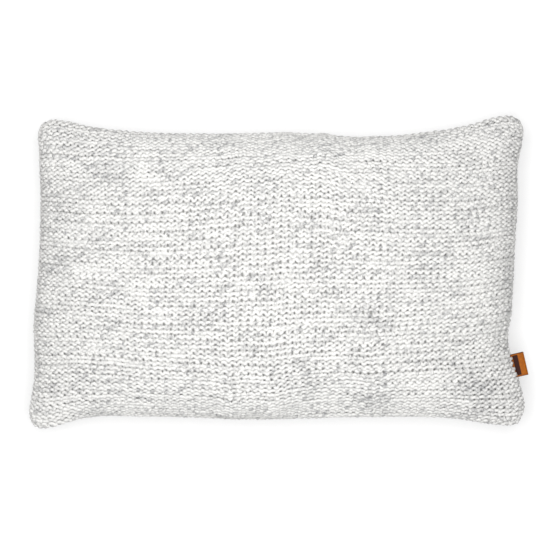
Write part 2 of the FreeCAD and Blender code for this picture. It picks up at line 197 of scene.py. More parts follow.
def relax(grid, times):
    """Evens out a panel's grid without moving its border."""
    for _ in range(times):
        inner = (grid[:-2, 1:-1] + grid[2:, 1:-1] + grid[1:-1, :-2] + grid[1:-1, 2:]) / 4
        grid[1:-1, 1:-1] = 0.5 * grid[1:-1, 1:-1] + 0.5 * inner
    return grid


U = np.linspace(-1, 1, CELLS_X + 1)
V = np.linspace(-1, 1, CELLS_Y + 1)


def even_spacing(grid, axis):
    """Slides a panel's points along its rows, or columns, until they are equally far apart."""
    lines = np.moveaxis(grid, axis, 0).copy()
    steps = np.linalg.norm(np.diff(lines, axis=0), axis=-1)
    length = np.concatenate([np.zeros((1, lines.shape[1])), np.cumsum(steps, axis=0)])
    for k in range(lines.shape[1]):
        place = np.linspace(0, length[-1, k], len(lines))
        lines[:, k] = np.stack([np.interp(place, length[:, k], lines[:, k, c]) for c in range(3)], -1)
    return np.moveaxis(lines, 0, axis)


def shift_border(grid, right, left, top, zip_side, reach):
    """Moves a panel's border by the given amounts, and its inside less and less with it."""
    to_right = ((1 + U) / 2)[:, None, None] ** reach
    to_left = ((1 - U) / 2)[:, None, None] ** reach
    to_top = ((1 + V) / 2)[None, :, None] ** reach
    to_zip = ((1 - V) / 2)[None, :, None] ** reach
    grid[..., :2] += to_right * right[None] + to_left * left[None]
    grid[..., :2] += to_top * top[:, None] + to_zip * zip_side[:, None]
    grid[..., :2] -= to_right * to_top * right[-1] + to_left * to_top * left[-1]
    grid[..., :2] -= to_right * to_zip * right[0] + to_left * to_zip * left[0]


def between(first, last, share):
    return first + (last - first) * (share + 1) / 2


OUTLINE_REACH = 1.6           # how fast the inside stops following the border, as a power
CORNER_REACH = 5.0


def fit_outline(grid):
    """Moves a panel's border onto the seam outline."""
    ends = np.array([-1.0, 1.0])
    right_x, left_x = through(RIGHT_SEAM, ends), -through(LEFT_SEAM, ends)
    top_y, zip_y = through(TOP_SEAM, ends), -through(ZIP_SEAM, ends)
    right = np.stack([through(RIGHT_SEAM, V), between(zip_y[1], top_y[1], V)], -1)
    left = np.stack([-through(LEFT_SEAM, V), between(zip_y[0], top_y[0], V)], -1)
    top = np.stack([between(left_x[1], right_x[1], U), through(TOP_SEAM, U)], -1)
    zip_side = np.stack([between(left_x[0], right_x[0], U), -through(ZIP_SEAM, U)], -1)
    shift_border(grid, right - grid[-1, :, :2], left - grid[0, :, :2],
                 top - grid[:, -1, :2], zip_side - grid[:, 0, :2], OUTLINE_REACH)


def rounding(distance, along, other):
    """How far a border point moves when its corner is rounded: `distance` from the corner down the
    side whose direction from the corner is `along`; the other side's is `other`."""
    near = np.clip(distance, 0, CORNER_RADIUS)[:, None]
    angle = (1 - near / CORNER_RADIUS) * math.pi / 4
    moved = (1 - np.sin(angle)) * np.array(along) + (1 - np.cos(angle)) * np.array(other)
    return CORNER_RADIUS * moved - near * np.array(along)


def round_corners(grid):
    """Rounds the four corners of a panel's border."""
    right_side, left_side = grid[-1, :, 1], grid[0, :, 1]
    top_side, zip_side = grid[:, -1, 0], grid[:, 0, 0]
    moves = []
    for side, inward in ((right_side, -1.0), (left_side, 1.0)):
        moves.append(rounding(side[-1] - side, (0.0, -1.0), (inward, 0.0))
                     + rounding(side - side[0], (0.0, 1.0), (inward, 0.0)))
    for side, inward in ((top_side, -1.0), (zip_side, 1.0)):
        moves.append(rounding(side[-1] - side, (-1.0, 0.0), (0.0, inward))
                     + rounding(side - side[0], (1.0, 0.0), (0.0, inward)))
    shift_border(grid, *moves, CORNER_REACH)


FULLNESS = 0.72               # below 1 lifts the fabric beside the seams
FLOOR_SOFTNESS = 0.010        # how gradually the underside flattens
FLOOR_GAP = 0.0003            # between the lowest yarn and the floor
SINKING = 0.007               # how far the round underside would reach below the floor


def cushion_grids():
    """Both panels' points: simulated, evened out, fitted to the outline and laid on the floor."""
    grids = []
    for grid in blow_up():
        grid = relax(grid, 30)
        for _ in range(3):
            grid = even_spacing(even_spacing(grid, 0), 1)
            grid = relax(grid, 3)
        fit_outline(grid)
        round_corners(grid)
        rim = np.concatenate([grid[0, :, 2], grid[-1, :, 2], grid[:, 0, 2], grid[:, -1, 2]]).mean()
        height = np.abs(grid[..., 2] - rim)
        for edge in (height[0], height[-1], height[:, 0], height[:, -1]):
            edge[:] = 0
        grid[..., 2] = (height / height.max()) ** FULLNESS
        grids.append(relax(grid, 2))
    front, back = grids
    front[..., 2] *= (TOP_Z - KNIT_HALF - SEAM_Z) / front[..., 2].max()
    lowest = SEAM_Z - KNIT_HALF - FLOOR_GAP
    depth = back[..., 2] * (SEAM_Z + SINKING) / back[..., 2].max()
    over = np.clip(depth - (lowest - FLOOR_SOFTNESS), 0, None)
    depth = np.minimum(depth, lowest - FLOOR_SOFTNESS) + FLOOR_SOFTNESS * np.tanh(over / FLOOR_SOFTNESS)
    back[..., 2] = -depth
    front[..., 2] += SEAM_Z
    back[..., 2] += SEAM_Z
    return front, back


front_grid, back_grid = cushion_grids()


LIP_END = 0.024               # the lips meet this far past the chain, beyond the turned-over pull
LIP_CLOSING = 0.018           # and come together over this length


def lip_height(x):
    """How far a panel's edge stands off the seam plane along the zip side."""
    open_part = smooth_step((ZIP_HALF + LIP_END - np.abs(x)) / LIP_CLOSING)
    return LIP_CLOSED + (LIP_ZIP - LIP_CLOSED) * open_part


EXTRA = 3                     # rows that the grids are continued by past each edge
CELL_V = 2 / CELLS_Y
CELL_U = 2 / CELLS_X
HEM_LINE = CHAIN_Y - KNIT_HALF - 0.0006    # middle of the hem, just in front of the tapes
HEM_IN = (0.75, 1.0, 1.0)     # share of the way to that line, row by row
HEM_UP = (0.0, 0.0042, 0.0120)
HEM_MOST = 0.008              # the hem goes no further in than this
LIP_RISE = (1.0, 0.45, 0.12)  # share of the lip's height that each row keeps, from the edge in


def continued(own, other, sign):
    """A panel's grid with rows added past its edges: over the top seam they are the other
    panel's, and at the zip edge they turn in behind the lip as a hem."""
    own = own.copy()
    near_corner = np.minimum(np.arange(CELLS_X + 1), CELLS_X - np.arange(CELLS_X + 1))
    lip = lip_height(own[:, 0, 0]) * np.clip(near_corner / 2, 0, 1)
    for row, share in enumerate(LIP_RISE):
        own[:, row, 2] += sign * lip * share
    hem = []
    for share, rise in zip(HEM_IN, HEM_UP):
        line = own[:, 0].copy()
        line[:, 1] += share * np.clip(HEM_LINE - line[:, 1], 0, HEM_MOST)
        line[:, 2] += sign * rise
        hem.insert(0, line)
    over_top = [other[:, -2 - row] for row in range(EXTRA)]
    return np.stack(hem + [own[:, j] for j in range(CELLS_Y + 1)] + over_top, axis=1)


def all_round(front, back):
    """Both panels as one strip that closes on itself round the two short sides."""
    wide_front = continued(front, back, 1)
    wide_back = continued(back, front, -1)
    return np.concatenate([wide_front[:-1], wide_back[:0:-1]], axis=0)


STRIP = all_round(front_grid, back_grid)
ROUND = STRIP.shape[0]


def cubic_weights(t):
    """Weights of the four nearest points for a smooth curve through them."""
    return np.stack([-t ** 3 / 2 + t ** 2 - t / 2, 1.5 * t ** 3 - 2.5 * t ** 2 + 1,
                     -1.5 * t ** 3 + 2 * t ** 2 + t / 2, t ** 3 / 2 - t ** 2 / 2])


CELL_LENGTH = 0.0083          # of one grid cell, on average
CENTRE = np.array([0, 0, SEAM_Z])
SMILE = (0.045, 0.065)        # how far courses rise towards the left and right seams, in v
DRIFT = 0.016                 # and wander up and down on the way across


def course_place(s, v):
    """Where a course that is level on the cut panel lies on the filled cushion, in v."""
    across = 1 - np.abs((s / CELLS_X) % 2 - 1) * 2
    rise = np.where(across > 0, SMILE[1], SMILE[0]) * np.abs(across) ** 4
    rise = rise + DRIFT * np.sin(3.6 * across + 0.8) * (1 - across ** 4)
    return v + rise * np.clip(1 - v * v, 0, 1)


def surface(s, v):
    """Points of the fabric's middle: s counts grid cells round the cushion from the left seam, v
    runs from -1 at the zip edge to 1."""
    column = np.floor(s).astype(int)
    row_place = (v + 1) / CELL_V + EXTRA
    row = np.clip(np.floor(row_place).astype(int), 1, STRIP.shape[1] - 3)
    ws, wv = cubic_weights(s - column), cubic_weights(row_place - row)
    total = np.zeros(np.shape(s) + (3,))
    for a in range(4):
        for b in range(4):
            total += (ws[a] * wv[b])[..., None] * STRIP[(column + a - 1) % ROUND, row + b - 1]
    return total


def surface_frame(s, v):
    """A point of the fabric's middle and its outward normal. In the corners, where the panels
    meet edge on, the normal leans outwards from the cushion's centre."""
    ds, dv = 0.25, 0.25 * CELL_V
    along = surface(s + ds, v) - surface(s - ds, v)
    up = surface(s, v + dv) - surface(s, v - dv)
    cross = np.cross(along, up) / (CELL_LENGTH / 2) ** 2
    size = np.linalg.norm(cross, axis=-1, keepdims=True)
    middle = surface(s, v)
    outwards = unit(middle - CENTRE)
    return middle, unit(cross + np.clip(0.6 - size, 0, 1) * outwards)


def pinch(s, v):
    """How far the side seams and the top seam draw the fabric in."""
    side = np.abs((s + CELLS_X / 2) % CELLS_X - CELLS_X / 2) * CELL_LENGTH
    top = np.abs(1 - v) / CELL_V * CELL_LENGTH
    nearest = np.minimum(side, top)
    return PINCH_DEPTH * np.exp(-(nearest / PINCH_WIDTH) ** 2)


# ---- yarn ----

def wander(count, spacing, amount):
    """Seeded smooth noise: values of the given spread that change over `spacing` places."""
    knots = rng.normal(0, 1, count // spacing + 4)
    place = np.arange(count) / spacing
    i = np.floor(place).astype(int)
    w = cubic_weights(place - i)
    return amount * sum(w[k] * knots[i + k] for k in range(4))


def course_line(number, first_stitch, stitches, wobble):
    """The centre line of one course of purl loops, and the fabric's normal along it."""
    t = np.linspace(0, stitches * 2 * math.pi, stitches * STEPS + 1)
    stitch = first_stitch + t / (2 * math.pi)
    shift_s, shift_v, depth, height, legs = (
        np.interp(stitch % (2 * STITCHES), np.arange(2 * STITCHES + 1), w) for w in wobble)
    course = 2 / COURSES
    s = (stitch + shift_s + LOOP_WIDTH * np.sin(2 * t) - (LEG_SHIFT + legs) * np.sin(t))
    s = s * CELLS_X / STITCHES
    v = -1 + course * (number + 0.5 + shift_v - (LOOP_HEIGHT + height) * np.cos(t))
    v = np.minimum(v, 1.0)
    v = np.where(v > -1, course_place(s, v), v)
    middle, normal = surface_frame(s, v)
    out = LOOP_DEPTH * np.cos(2 * t) + depth - pinch(s, v)
    return middle + normal * out[:, None], normal, t


def ring_faces(rings, sides, closed=False):
    """The faces between rings of points that follow one another, the last back to the first if
    the shape is closed."""
    i = np.arange(rings if closed else rings - 1)[:, None]
    j = np.arange(sides)[None, :]
    following, beside = (i + 1) % rings, (j + 1) % sides
    return np.stack([i * sides + j, i * sides + beside, following * sides + beside,
                     following * sides + j], -1).reshape(-1, 4)


def tube(line, normal, radius, length, sides=SIDES, lobe=0.11, fuzz=0.035):
    """Vertices and faces of a twisted yarn along a line, with its length and turn as UVs. Its two
    plies stand out by the share `lobe`, and its surface is uneven by the share `fuzz`."""
    tangent = unit(np.gradient(line, axis=0))
    across = unit(np.cross(tangent, normal))
    out = np.cross(across, tangent)
    turn = np.arange(sides) * 2 * math.pi / sides
    twist = length / TWIST_LENGTH * 2 * math.pi
    ring = radius[:, None] * (1 + lobe * np.cos(2 * (turn[None, :] - twist[:, None])))
    ring *= 1 + rng.normal(0, fuzz, ring.shape)
    points = (line[:, None] + across[:, None] * (ring * np.cos(turn))[..., None]
              + out[:, None] * (ring * np.sin(turn))[..., None])
    side = np.arange(sides)[None, :]
    u0, v0 = np.broadcast_arrays(length[:-1, None], side / sides)
    u1, v1 = np.broadcast_arrays(length[1:, None], (side + 1) / sides)
    uv = np.stack([np.stack([u0, v0], -1), np.stack([u0, v1], -1),
                   np.stack([u1, v1], -1), np.stack([u1, v0], -1)], -2)
    return points.reshape(-1, 3), ring_faces(len(line), sides), uv.reshape(-1, 2)


def mesh_piece(name, points, faces, uv_layers=None):
    """A smooth-shaded mesh object from arrays, with named UV layers."""
    mesh = bpy.data.meshes.new(name)
    mesh.vertices.add(len(points))
    mesh.vertices.foreach_set("co", np.ascontiguousarray(points, np.float32).ravel())
    corners = faces.shape[1]
    mesh.loops.add(faces.size)
    mesh.loops.foreach_set("vertex_index", faces.ravel().astype(np.int32))
    mesh.polygons.add(len(faces))
    mesh.polygons.foreach_set("loop_start", np.arange(0, faces.size, corners, dtype=np.int32))
    mesh.polygons.foreach_set("loop_total", np.full(len(faces), corners, np.int32))
    for layer_name, uv in (uv_layers or {}).items():
        layer = mesh.uv_layers.new(name=layer_name)
        layer.data.foreach_set("uv", np.ascontiguousarray(uv, np.float32).ravel())
    mesh.update(calc_edges=True)
    mesh.validate()
    mesh.polygons.foreach_set("use_smooth", np.ones(len(mesh.polygons), bool))
    piece = bpy.data.objects.new(name, mesh)
    bpy.context.scene.collection.objects.link(piece)
    return piece


def claim(piece, made, body, slot, *nodes):
    """Gives a piece its material and its body, and hides the CAD nodes that it replaces. The slot is not
    used.
    """
    piece.data.materials.append(made)
    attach(piece, body)
    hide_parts(*nodes)


STITCH_WANDER = (0.06, 0.035)     # spread of the slow and the quick unevenness, in stitches
COURSE_WANDER = (0.085, 0.065)    # and in courses
DEPTH_SPREAD = 0.00016
HEIGHT_SPREAD = 0.06
LEG_SPREAD = 0.036
THICKNESS_WANDER = 0.075
YARN_START_STEP = 150             # stitches of yarn from one course's start to the next one's


def course_wobbles():
    """One course's unevenness, closed round the cushion: stitch shift, height, depth, loop height
    and leg shift."""
    count = 2 * STITCHES + 1
    wobble = [wander(count, 3, STITCH_WANDER[0]) + rng.normal(0, STITCH_WANDER[1], count),
              wander(count, 9, COURSE_WANDER[0]) + rng.normal(0, COURSE_WANDER[1], count),
              rng.normal(0, DEPTH_SPREAD, count),
              rng.normal(0, HEIGHT_SPREAD, count),
              rng.normal(0, LEG_SPREAD, count)]
    for values in wobble:
        values[-1] = values[0]
    return wobble


ROWS_PER_COURSE = 4           # strips that a course is cut into on its texture sheet
STRIP_START = 0.012           # in sheet widths
STRIP_LENGTH = 0.97
STRIP_GAP = 0.06              # free on each side of a strip, in strips


def sheet_places(uv, offset, row, rows):
    """Lays a course's faces out on a texture sheet as a few long strips, one above another."""
    along = uv[:, 0].reshape(-1, 4) - offset
    around = uv[:, 1].reshape(-1, 4)
    length = along.max() / ROWS_PER_COURSE
    strip = np.clip(np.floor(along.min(axis=1) / length).astype(int), 0, ROWS_PER_COURSE - 1)
    x = (along - strip[:, None] * length) / length
    x = STRIP_START + STRIP_LENGTH * np.clip(x, -0.01, 1.01)
    y = row * ROWS_PER_COURSE + strip[:, None] + STRIP_GAP + (1 - 2 * STRIP_GAP) * around
    y = y / (rows * ROWS_PER_COURSE)
    return np.stack([x, y], -1).reshape(-1, 2)


def yarn_piece(name, courses, first_stitch, wobbles):
    """Some courses of one panel as one mesh."""
    points, faces, uvs, sheet = [], [], [], []
    start = 0
    for row, number in enumerate(courses):
        line, normal, t = course_line(number, first_stitch, STITCHES, wobbles[number])
        thick = np.interp(np.linspace(0, 1, len(line)), np.linspace(0, 1, 4 * STITCHES),
                          wander(4 * STITCHES, 3, THICKNESS_WANDER))
        thick -= LEG_THINNING * (1 - np.cos(2 * t))
        offset = YARN_PER_STITCH * (YARN_START_STEP * (number + HEM_COURSES) + first_stitch)
        p, f, uv = tube(line, normal, YARN_RADIUS * (1 + thick),
                        offset + YARN_PER_STITCH * t / (2 * math.pi))
        points.append(p)
        faces.append(f + start)
        uvs.append(uv)
        sheet.append(sheet_places(uv, offset, row, len(courses)))
        start += len(p)
    return mesh_piece(name, np.concatenate(points), np.concatenate(faces),
                      {"Yarn": np.concatenate(uvs), "OFBake": np.concatenate(sheet)})


# ---- materials ----

IVORY = (0.70, 0.695, 0.68)
PAINTED_SHADE_COLOUR = (0.13, 0.13, 0.13)   # painted shade: the dark that falls deep between the loops
LEG_PAINTED_SHADE = 0.35             # share of the painted shade on the legs, which lie behind heads and feet
FLANK_PAINTED_SHADE = 0.05           # and of the painted shade on the side of the yarn that faces into the fabric
GREY = (0.29, 0.29, 0.295)
MARL_PER_METRE = 110.0        # how often the grey comes and goes along the yarn
MARL_RANGE = (0.45, 0.62)     # noise values from plain to fully grey
CROWDING_PER_METRE = 7.0      # how often the marled stretches crowd together
CROWDING = 0.7                # and how strongly
PLY_RANGE = (-1.6, 0.6)       # the grey fibres lie mostly in one of the two plies
FLECKS_PER_METRE = 420.0
FLECKS_AROUND = 9.0
FLECK_RANGE = (0.32, 0.56)
FIBRES_PER_METRE = 260.0
FIBRES_AROUND = 26.0


def material(name):
    """A new material with its nodes, links and shader."""
    made = bpy.data.materials.new(name)
    made.use_nodes = True
    nodes, links = made.node_tree.nodes, made.node_tree.links
    return made, nodes, links, nodes["Principled BSDF"]


def noise_node(nodes, links, vector, scale, detail=4.0, roughness=0.5):
    """Soft noise at a place given by a socket."""
    noise = nodes.new("ShaderNodeTexNoise")
    noise.inputs["Scale"].default_value = scale
    noise.inputs["Detail"].default_value = detail
    noise.inputs["Roughness"].default_value = roughness
    links.new(vector, noise.inputs["Vector"])
    return noise.outputs["Fac"]


def spread(nodes, links, value, low, high):
    """Stretches a value so that `low` gives 0 and `high` gives 1."""
    node = nodes.new("ShaderNodeMapRange")
    node.inputs["From Min"].default_value = low
    node.inputs["From Max"].default_value = high
    links.new(value, node.inputs["Value"])
    return node.outputs[0]


def blend(nodes, links, share, first, second):
    """Mixes two colours, each a colour or a socket."""
    node = nodes.new("ShaderNodeMix")
    node.data_type = "RGBA"
    links.new(share, node.inputs["Factor"])
    for socket, colour in ((node.inputs["A"], first), (node.inputs["B"], second)):
        if isinstance(colour, tuple):
            socket.default_value = (*colour, 1)
        else:
            links.new(colour, socket)
    return node.outputs["Result"]


def maths_node(nodes, links, operation, first, second=None):
    """A calculation with one or two values, each a number or a socket."""
    node = nodes.new("ShaderNodeMath")
    node.operation = operation
    for socket, value in zip(node.inputs, (first, second)):
        if isinstance(value, (int, float)):
            socket.default_value = value
        elif value is not None:
            links.new(value, socket)
    return node.outputs[0]


def add_bump(nodes, links, shader, height, strength, distance):
    bump = nodes.new("ShaderNodeBump")
    bump.inputs["Strength"].default_value = strength
    bump.inputs["Distance"].default_value = distance
    links.new(height, bump.inputs["Height"])
    links.new(bump.outputs[0], shader.inputs["Normal"])


def yarn_material():
    """Ivory two-ply yarn marled with grey: some stretches carry grey fibres, denser in places, and
    fine fibres twist round the whole yarn. Painted shade darkens the legs, which lie deep between
    the loops, and the side of the yarn that faces into the fabric."""
    made, nodes, links, shader = material("marled_ivory_yarn")
    uv = nodes.new("ShaderNodeUVMap")
    uv.uv_map = "Yarn"
    split = nodes.new("ShaderNodeSeparateXYZ")
    links.new(uv.outputs["UV"], split.inputs[0])
    along, around = split.outputs["X"], split.outputs["Y"]

    def maths(operation, first, second=None):
        return maths_node(nodes, links, operation, first, second)

    def line_noise(per_metre, detail, roughness, sideways=None):
        place = nodes.new("ShaderNodeCombineXYZ")
        links.new(maths("MULTIPLY", along, per_metre), place.inputs["X"])
        if sideways is not None:
            links.new(sideways, place.inputs["Y"])
        return noise_node(nodes, links, place.outputs[0], 1.0, detail, roughness)

    ply_place = maths("SUBTRACT", around, maths("DIVIDE", along, TWIST_LENGTH))
    ply = maths("COSINE", maths("MULTIPLY", ply_place, 2 * math.pi))
    crowding = maths("SUBTRACT", line_noise(CROWDING_PER_METRE, 1.0, 0.5), 0.5)
    stretches = line_noise(MARL_PER_METRE, 3.0, 0.6)
    marled = maths("ADD", stretches, maths("MULTIPLY", crowding, CROWDING))
    stretch = spread(nodes, links, marled, *MARL_RANGE)
    on_ply = spread(nodes, links, ply, *PLY_RANGE)
    flecks = line_noise(FLECKS_PER_METRE, 2.0, 0.6, maths("MULTIPLY", ply_place, FLECKS_AROUND))
    flecks = spread(nodes, links, flecks, *FLECK_RANGE)
    share = maths("MULTIPLY", maths("MULTIPLY", stretch, on_ply), flecks)
    marl = blend(nodes, links, share, IVORY, GREY)

    # painted shade: the legs, which lie deep behind heads and feet, and the side of the yarn that faces
    # into the fabric are mixed towards a dark grey
    phase = maths("MULTIPLY", along, 4 * math.pi / YARN_PER_STITCH)
    leg = spread(nodes, links, maths("COSINE", phase), 0.3, -1.0)
    flank = spread(nodes, links, maths("SINE", maths("MULTIPLY", around, 2 * math.pi)), 1.0, -1.0)
    painted_shade = maths("ADD", maths("MULTIPLY", leg, LEG_PAINTED_SHADE), maths("MULTIPLY", flank, FLANK_PAINTED_SHADE))
    links.new(blend(nodes, links, painted_shade, marl, PAINTED_SHADE_COLOUR), shader.inputs["Base Color"])

    fibres = line_noise(FIBRES_PER_METRE, 4.0, 0.5, maths("MULTIPLY", ply_place, FIBRES_AROUND))
    add_bump(nodes, links, shader, fibres, 0.6, 0.0006)
    shader.inputs["Roughness"].default_value = 0.92
    shader.inputs["Specular IOR Level"].default_value = 0.2
    shader.inputs["Sheen Weight"].default_value = 0.1
    shader.inputs["Sheen Roughness"].default_value = 0.6
    return made


def plain_material(name, colour, roughness, metallic=0.0, grain=400.0, bump_distance=0.0001):
    """A base colour with a little uneven tone and a fine bump, for the small parts."""
    made, nodes, links, shader = material(name)
    place = nodes.new("ShaderNodeTexCoord").outputs["Object"]
    noise = noise_node(nodes, links, place, grain)
    darker, lighter = tuple(c * 0.9 for c in colour), tuple(min(1, c * 1.08) for c in colour)
    links.new(blend(nodes, links, noise, darker, lighter), shader.inputs["Base Color"])
    add_bump(nodes, links, shader, noise, 0.4, bump_distance)
    shader.inputs["Roughness"].default_value = roughness
    shader.inputs["Metallic"].default_value = metallic
    return made


LEATHER = ((0.22, 0.058, 0.003), (0.37, 0.105, 0.006))
CUT_EDGE = (0.075, 0.025, 0.012)
BURNISHED = (0.030, 0.007, 0.004)
TAG_UV_SCALE = 100            # the tag's texture places are in centimetres


def tag_material():
    """Cognac leather: mottled colour, pebbled grain, dark cut edges and a burnished plain bar."""
    made, nodes, links, shader = material("cognac_leather")
    uv = nodes.new("ShaderNodeUVMap")
    uv.uv_map = "Tag"
    place = uv.outputs["UV"]
    split = nodes.new("ShaderNodeSeparateXYZ")
    links.new(place, split.inputs[0])

    def inside(value, middle, half, soft):
        """1 within `half` of the middle, falling to 0 over twice `soft`, all in metres."""
        middle, half, soft = (TAG_UV_SCALE * length for length in (middle, half, soft))
        away = maths_node(nodes, links, "ABSOLUTE", maths_node(nodes, links, "SUBTRACT", value, middle))
        return spread(nodes, links, away, half + soft, half - soft)

    mottle = noise_node(nodes, links, place, 3.2, 5.0, 0.6)
    colour = blend(nodes, links, spread(nodes, links, mottle, 0.3, 0.7), *LEATHER)
    in_body = inside(split.outputs["Y"], 0.0, TAG_LENGTH / 2 - 0.00055, 0.0003)
    colour = blend(nodes, links, in_body, CUT_EDGE, colour)
    bar_width = inside(split.outputs["X"], BAR_PLACE, BAR_WIDTH / 2, 0.0002)
    bar_length = inside(split.outputs["Y"], 0.0, TAG_LENGTH / 2 - BAR_EDGE, 0.0002)
    bar = maths_node(nodes, links, "MULTIPLY", bar_width, bar_length)
    links.new(blend(nodes, links, bar, colour, BURNISHED), shader.inputs["Base Color"])
    pores = nodes.new("ShaderNodeTexVoronoi")
    pores.inputs["Scale"].default_value = 22.0
    links.new(place, pores.inputs["Vector"])
    grain = noise_node(nodes, links, place, 60.0, 3.0)
    height = maths_node(nodes, links, "ADD", pores.outputs["Distance"], grain)
    add_bump(nodes, links, shader, height, 0.45, 0.00012)
    rough = nodes.new("ShaderNodeMapRange")
    rough.inputs["To Min"].default_value = 0.42
    rough.inputs["To Max"].default_value = 0.62
    links.new(mottle, rough.inputs["Value"])
    links.new(rough.outputs[0], shader.inputs["Roughness"])
    shader.inputs["Specular IOR Level"].default_value = 0.1
    return made


TAPE_LIGHT = (0.80, 0.78, 0.72)
TAPE_DARK = (0.62, 0.60, 0.54)
TAPE_RIB = 0.0006             # from one rib of the weave to the next
TAPE_ZIGZAG = 0.0011


def tape_material():
    """Ivory woven tape: fine herringbone ribs."""
    made, nodes, links, shader = material("zip_tape_weave")
    place = nodes.new("ShaderNodeTexCoord")
    split = nodes.new("ShaderNodeSeparateXYZ")
    links.new(place.outputs["Object"], split.inputs[0])
    zigzag = maths_node(nodes, links, "PINGPONG", split.outputs["Z"], TAPE_ZIGZAG)
    slanted = maths_node(nodes, links, "ADD", split.outputs["X"], zigzag)
    phase = maths_node(nodes, links, "MULTIPLY", slanted, 2 * math.pi / TAPE_RIB)
    ribs = maths_node(nodes, links, "SINE", phase)
    share = spread(nodes, links, ribs, -1.0, 1.0)
    links.new(blend(nodes, links, share, TAPE_DARK, TAPE_LIGHT), shader.inputs["Base Color"])
    add_bump(nodes, links, shader, ribs, 0.5, 0.00008)
    shader.inputs["Roughness"].default_value = 0.8
    return made


# ---- pieces ----

def knit():
    """Both panels' courses, from the hem up, in bands of a few courses each."""
    yarn = yarn_material()
    wobbles = {number: course_wobbles() for number in range(-HEM_COURSES, COURSES)}
    for panel, first, node in (("front", 0, "knit_front_panel"), ("back", STITCHES, "knit_back_panel")):
        for band, start in enumerate(range(-HEM_COURSES, COURSES, BAND)):
            courses = range(start, min(COURSES, start + BAND))
            piece = yarn_piece("knit_%s_rows_%d" % (panel, band + 1), courses, first, wobbles)
            claim(piece, yarn, "cushion", "knit_yarn", node)


def strip_solid(upper, lower):
    """Closes two matching grids of points into one solid: its vertices and faces."""
    rows, columns = upper.shape[:2]
    near = np.arange(rows * columns).reshape(rows, columns)
    far = near + rows * columns
    faces = [np.stack([near[:-1, :-1], near[:-1, 1:], near[1:, 1:], near[1:, :-1]], -1).reshape(-1, 4),
             np.stack([far[:-1, :-1], far[1:, :-1], far[1:, 1:], far[:-1, 1:]], -1).reshape(-1, 4)]
    for edge, other in ((near[0], far[0]), (near[-1][::-1], far[-1][::-1]),
                        (near[::-1, 0], far[::-1, 0]), (near[:, -1], far[:, -1])):
        faces.append(np.stack([edge[1:], edge[:-1], other[:-1], other[1:]], -1))
    return np.concatenate([upper.reshape(-1, 3), lower.reshape(-1, 3)]), np.concatenate(faces)


PAD_CELLS = (90, 56)


def inner_pad(name, share_u, share_v, inward, made, slot, *nodes):
    """A closed pad inside the knit that follows it at a distance."""
    u = np.linspace(-share_u, share_u, PAD_CELLS[0] + 1)
    v = np.linspace(-share_v, share_v, PAD_CELLS[1] + 1)
    gu, gv = np.meshgrid(u, v, indexing="ij")
    grids = []
    for s in ((gu + 1) / CELL_U, ROUND - (gu + 1) / CELL_U):
        middle, normal = surface_frame(s, gv)
        grids.append(middle - normal * inward)
    front, back = grids
    points, faces = strip_solid(back, front)
    piece = mesh_piece(name, points, faces)
    claim(piece, made, "cushion", slot, *nodes)
    return piece


# ---- leather tag ----

TAG_LOW, TAG_HIGH = (np.array(corner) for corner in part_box("leather_tag"))
TAG_TURN = math.radians(13)
TAG_LENGTH = 0.0235           # along the seam
TAG_LEATHER = 0.0013
TAG_GAP = 0.00035             # half the space between the two layers
TAG_ROOT = 0.0075             # hidden behind the seam
TAG_REACH = 0.0105            # from the seam's edge to the fold
BAR_WIDTH = 0.0050            # the plain burnished bar beside the seam, pressed into the leather
BAR_EDGE = 0.0016             # its distance from the tag's ends
BAR_PLACE = 0.0016            # and of its middle from the seam's edge
BAR_DEPTH = 0.00016


def tag_section():
    """The middle of the folded strip, as places across the seam and heights, and its normals."""
    centre = TAG_REACH - TAG_LEATHER - 0.0008
    half = TAG_GAP + TAG_LEATHER / 2
    flat = np.linspace(-TAG_ROOT, centre, 40)
    turn = np.linspace(math.pi / 2, -math.pi / 2, 15)[1:-1]
    bulge = half + 0.0003 * smooth_step((flat - centre + 0.006) / 0.006)
    x = np.concatenate([flat, centre + 1.35 * bulge[-1] * np.cos(turn), flat[::-1]])
    z = np.concatenate([bulge, bulge[-1] * np.sin(turn), -bulge[::-1]])
    tangent = unit(np.stack([np.gradient(x), np.gradient(z)], -1))
    return x, z, -tangent[:, 1], tangent[:, 0]


def leather_tag():
    """A strip of leather folded round outside the seam, with rounded cut edges."""
    x, z, nx, nz = tag_section()
    across = np.linspace(-0.5, 0.5, 37) * TAG_LENGTH
    edge = np.clip((TAG_LENGTH / 2 - np.abs(across)) / 0.0005, 0, 1)
    thin = 0.72 + 0.28 * np.sqrt(1 - (1 - edge) ** 2)
    place, along = np.meshgrid(x, across, indexing="ij")
    layers = []
    for face in (1, -1):
        out = face * thin[None, :] * TAG_LEATHER / 2 * np.ones_like(place)
        if face == 1:
            in_bar = smooth_step((BAR_WIDTH / 2 - np.abs(place - BAR_PLACE)) / 0.0004 + 0.5)
            in_bar *= smooth_step((TAG_LENGTH / 2 - BAR_EDGE - np.abs(along)) / 0.0004 + 0.5)
            in_bar *= (z > 0)[:, None]
            out -= BAR_DEPTH * in_bar
        grain = rng.normal(0, 0.00002, place.shape)
        px = x[:, None] + nx[:, None] * (out + grain)
        pz = z[:, None] + nz[:, None] * (out + grain)
        sag = 0.0006 * (along / TAG_LENGTH) ** 2 * smooth_step(place / TAG_REACH)
        layers.append(np.stack([px, along, pz + sag], -1))
    points, faces = strip_solid(layers[0], layers[1])
    turn = np.array([[math.cos(TAG_TURN), math.sin(TAG_TURN)], [-math.sin(TAG_TURN), math.cos(TAG_TURN)]])
    flat = points.copy()
    points[:, :2] = points[:, :2] @ turn
    points += (TAG_HIGH[0] - 0.0006 - points[:, 0].max(), (TAG_LOW + TAG_HIGH)[1] / 2, SEAM_Z)
    corners = flat[faces.ravel()]
    piece = mesh_piece("folded_leather_tag", points, faces, {"Tag": corners[:, :2] * TAG_UV_SCALE})
    claim(piece, tag_material(), "cushion", "tag_leather", "leather_tag")


# ---- zip ----

